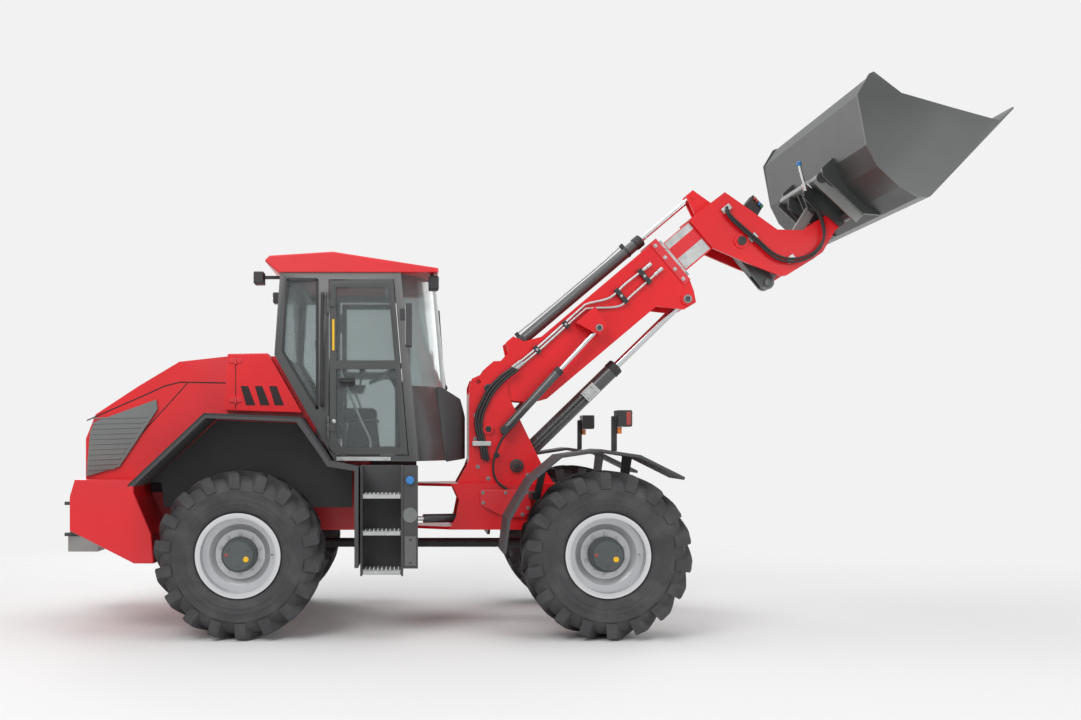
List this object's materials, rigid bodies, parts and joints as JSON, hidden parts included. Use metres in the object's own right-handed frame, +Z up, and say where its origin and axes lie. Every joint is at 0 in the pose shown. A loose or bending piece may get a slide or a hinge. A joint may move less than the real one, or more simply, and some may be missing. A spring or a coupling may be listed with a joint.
{
  "type": "articulated telescopic wheel loader",
  "caption": "Articulated wheel loader with a telescopic boom, a quick hitch and a bucket; a glazed cab and sloping engine hood stand on the rear frame, and the front frame carries the boom.",
  "frame": {"origin": "on the ground below the middle of the machine as it is posed in the picture", "axes": "+X forward, +Y to the machine's left, +Z up"},
  "size_m": [7.6629, 2.37, 4.3953],
  "materials": {
    "painted_red": "gloss red machine paint",
    "dark_plastic": "moulded dark grey plastic",
    "cab_grey": "dark grey powder coat",
    "tinted_glass": "grey tinted safety glass",
    "grille_grey": "grey moulded grille",
    "service_red": "gloss red cover",
    "cast_steel": "painted dark casting",
    "anthracite_steel": "anthracite satin paint",
    "barrel_grey": "dark grey cylinder paint",
    "rod_chrome": "hard chrome",
    "rim_silver": "silver wheel paint",
    "tyre_rubber": "ribbed tyre rubber",
    "lamp_housing": "black lamp housing",
    "seat_fabric": "dark seat cloth",
    "console_plastic": "textured console plastic"
  },
  "bodies": {
    "rear_frame": {"rear_chassis": "painted_red", "rear_axle": "cast_steel", "rear_shaft": "cast_steel", "engine_block": "cast_steel", "counterweight": "painted_red", "tow_hitch": "cast_steel", "hood": "painted_red", "side_grilles": "grille_grey", "service_boxes": "service_red", "rear_fenders": "dark_plastic", "cab_frame": "cab_grey", "cab_roof": "painted_red", "cab_glass": "tinted_glass", "cab_lamps": "lamp_housing", "mirrors": "dark_plastic", "seat": "seat_fabric", "steering_column": "console_plastic", "front_cowl": "dark_plastic", "steps": "dark_plastic"},
    "front_frame": {"front_chassis": "painted_red", "side_pins": "cast_steel", "front_axle": "cast_steel", "drive_shaft": "cast_steel", "front_fenders": "dark_plastic", "front_lamps": "lamp_housing"},
    "door_left": {"door_left": "cab_grey", "door_glass_left": "tinted_glass"},
    "door_right": {"door_right": "cab_grey", "door_glass_right": "tinted_glass"},
    "wheel_front_left": {"tyre_front_left": "tyre_rubber", "rim_front_left": "rim_silver"},
    "wheel_front_right": {"tyre_front_right": "tyre_rubber", "rim_front_right": "rim_silver"},
    "wheel_rear_left": {"tyre_rear_left": "tyre_rubber", "rim_rear_left": "rim_silver"},
    "wheel_rear_right": {"tyre_rear_right": "tyre_rubber", "rim_rear_right": "rim_silver"},
    "boom": {"outer_boom": "painted_red", "telescope_barrel": "barrel_grey"},
    "telescope": {"inner_boom": "painted_red", "boom_head": "painted_red", "telescope_rod": "rod_chrome"},
    "bucket": {"quick_hitch": "anthracite_steel", "bucket": "anthracite_steel"},
    "tilt_lever": {"tilt_lever": "anthracite_steel"},
    "tilt_link": {"tilt_link": "anthracite_steel"},
    "lift_barrel": {"lift_barrel": "barrel_grey"},
    "lift_rod": {"lift_rod": "rod_chrome"},
    "side_barrels": {"side_barrels": "barrel_grey"},
    "side_rods": {"side_rods": "rod_chrome"},
    "steering_barrel": {"steering_barrel": "barrel_grey"},
    "steering_rod": {"steering_rod": "rod_chrome"}
  },
  "joints": [
    {"name": "articulation", "type": "hinge", "parent": "rear_frame", "child": "front_frame", "pos_m": [-0.85, 0, 0.985], "axis": [0, 0, 1], "range_deg": [-38, 38]},
    {"name": "wheel_front_left", "type": "hinge", "parent": "front_frame", "child": "wheel_front_left", "pos_m": [0.7, 0.935, 0.655], "axis": [0, 1, 0], "continuous": true},
    {"name": "wheel_front_right", "type": "hinge", "parent": "front_frame", "child": "wheel_front_right", "pos_m": [0.7, -0.935, 0.655], "axis": [0, 1, 0], "continuous": true},
    {"name": "wheel_rear_left", "type": "hinge", "parent": "rear_frame", "child": "wheel_rear_left", "pos_m": [-2.16, 0.935, 0.655], "axis": [0, 1, 0], "continuous": true},
    {"name": "wheel_rear_right", "type": "hinge", "parent": "rear_frame", "child": "wheel_rear_right", "pos_m": [-2.16, -0.935, 0.655], "axis": [0, 1, 0], "continuous": true},
    {"name": "door_left", "type": "hinge", "parent": "rear_frame", "child": "door_left", "pos_m": [-1.49, 0.814, 2.15], "axis": [0, 0, 1], "range_deg": [0, 85]},
    {"name": "door_right", "type": "hinge", "parent": "rear_frame", "child": "door_right", "pos_m": [-1.49, -0.814, 2.15], "axis": [0, 0, -1], "range_deg": [0, 85]},
    {"name": "boom_lift", "type": "hinge", "parent": "front_frame", "child": "boom", "pos_m": [-0.16, 0, 1.99], "axis": [0, -1, 0], "range_deg": [-58.5, 9]},
    {"name": "boom_telescope", "type": "slide", "parent": "boom", "child": "telescope", "axis": [0.7638, 0, 0.6455], "range_m": [-0.3, 0.7]},
    {"name": "bucket_tilt", "type": "hinge", "parent": "telescope", "child": "bucket", "pos_m": [2.86013, 0, 3.46993], "axis": [0, 1, 0], "range_deg": [-55, 97]},
    {"name": "tilt_lever_swing", "type": "hinge", "parent": "telescope", "child": "tilt_lever", "pos_m": [2.01804, 0, 3.26107], "axis": [0, 1, 0], "range_deg": [-24.59, 14.03]},
    {"name": "tilt_link_swing", "type": "hinge", "parent": "bucket", "child": "tilt_link", "pos_m": [2.67376, 0, 3.56408], "axis": [0, 1, 0], "range_deg": [-97.6, 55.42]},
    {"name": "lift_barrel_swing", "type": "hinge", "parent": "front_frame", "child": "lift_barrel", "pos_m": [0.08, 0, 1.33], "axis": [0, -1, 0], "range_deg": [-62.56, 9.79]},
    {"name": "lift_rod_stroke", "type": "slide", "parent": "lift_barrel", "child": "lift_rod", "axis": [0.7169, 0, 0.6972], "range_m": [-0.71255, 0.11047]},
    {"name": "side_barrel_swing", "type": "hinge", "parent": "front_frame", "child": "side_barrels", "pos_m": [-0.026, 0, 1.636], "axis": [0, -1, 0], "range_deg": [-59.02, 9.25]},
    {"name": "side_rod_stroke", "type": "slide", "parent": "side_barrels", "child": "side_rods", "axis": [0.6778, 0, 0.7353], "range_m": [-0.37585, 0.05867]},
    {"name": "steering_barrel_swing", "type": "hinge", "parent": "front_frame", "child": "steering_barrel", "pos_m": [-0.25, -0.11, 0.88], "axis": [0, 0, 1], "range_deg": [-15.32, 15.32]},
    {"name": "steering_rod_stroke", "type": "slide", "parent": "steering_barrel", "child": "steering_rod", "axis": [-0.9668, -0.2556, 0], "range_m": [-0.17255, 0.17255]}
  ],
  "couplings": [
    {"joint": "tilt_lever_swing", "follows": "bucket_tilt", "ratio": -0.2465},
    {"joint": "tilt_link_swing", "follows": "bucket_tilt", "ratio": -0.9844},
    {"joint": "lift_barrel_swing", "follows": "boom_lift", "ratio": 1.045},
    {"joint": "lift_rod_stroke", "follows": "boom_lift", "m_per_rad": 0.69},
    {"joint": "side_barrel_swing", "follows": "boom_lift", "ratio": 0.9857},
    {"joint": "side_rod_stroke", "follows": "boom_lift", "m_per_rad": 0.3635},
    {"joint": "steering_barrel_swing", "follows": "articulation", "ratio": -0.39},
    {"joint": "steering_rod_stroke", "follows": "articulation", "m_per_rad": 0.2561}
  ]
}
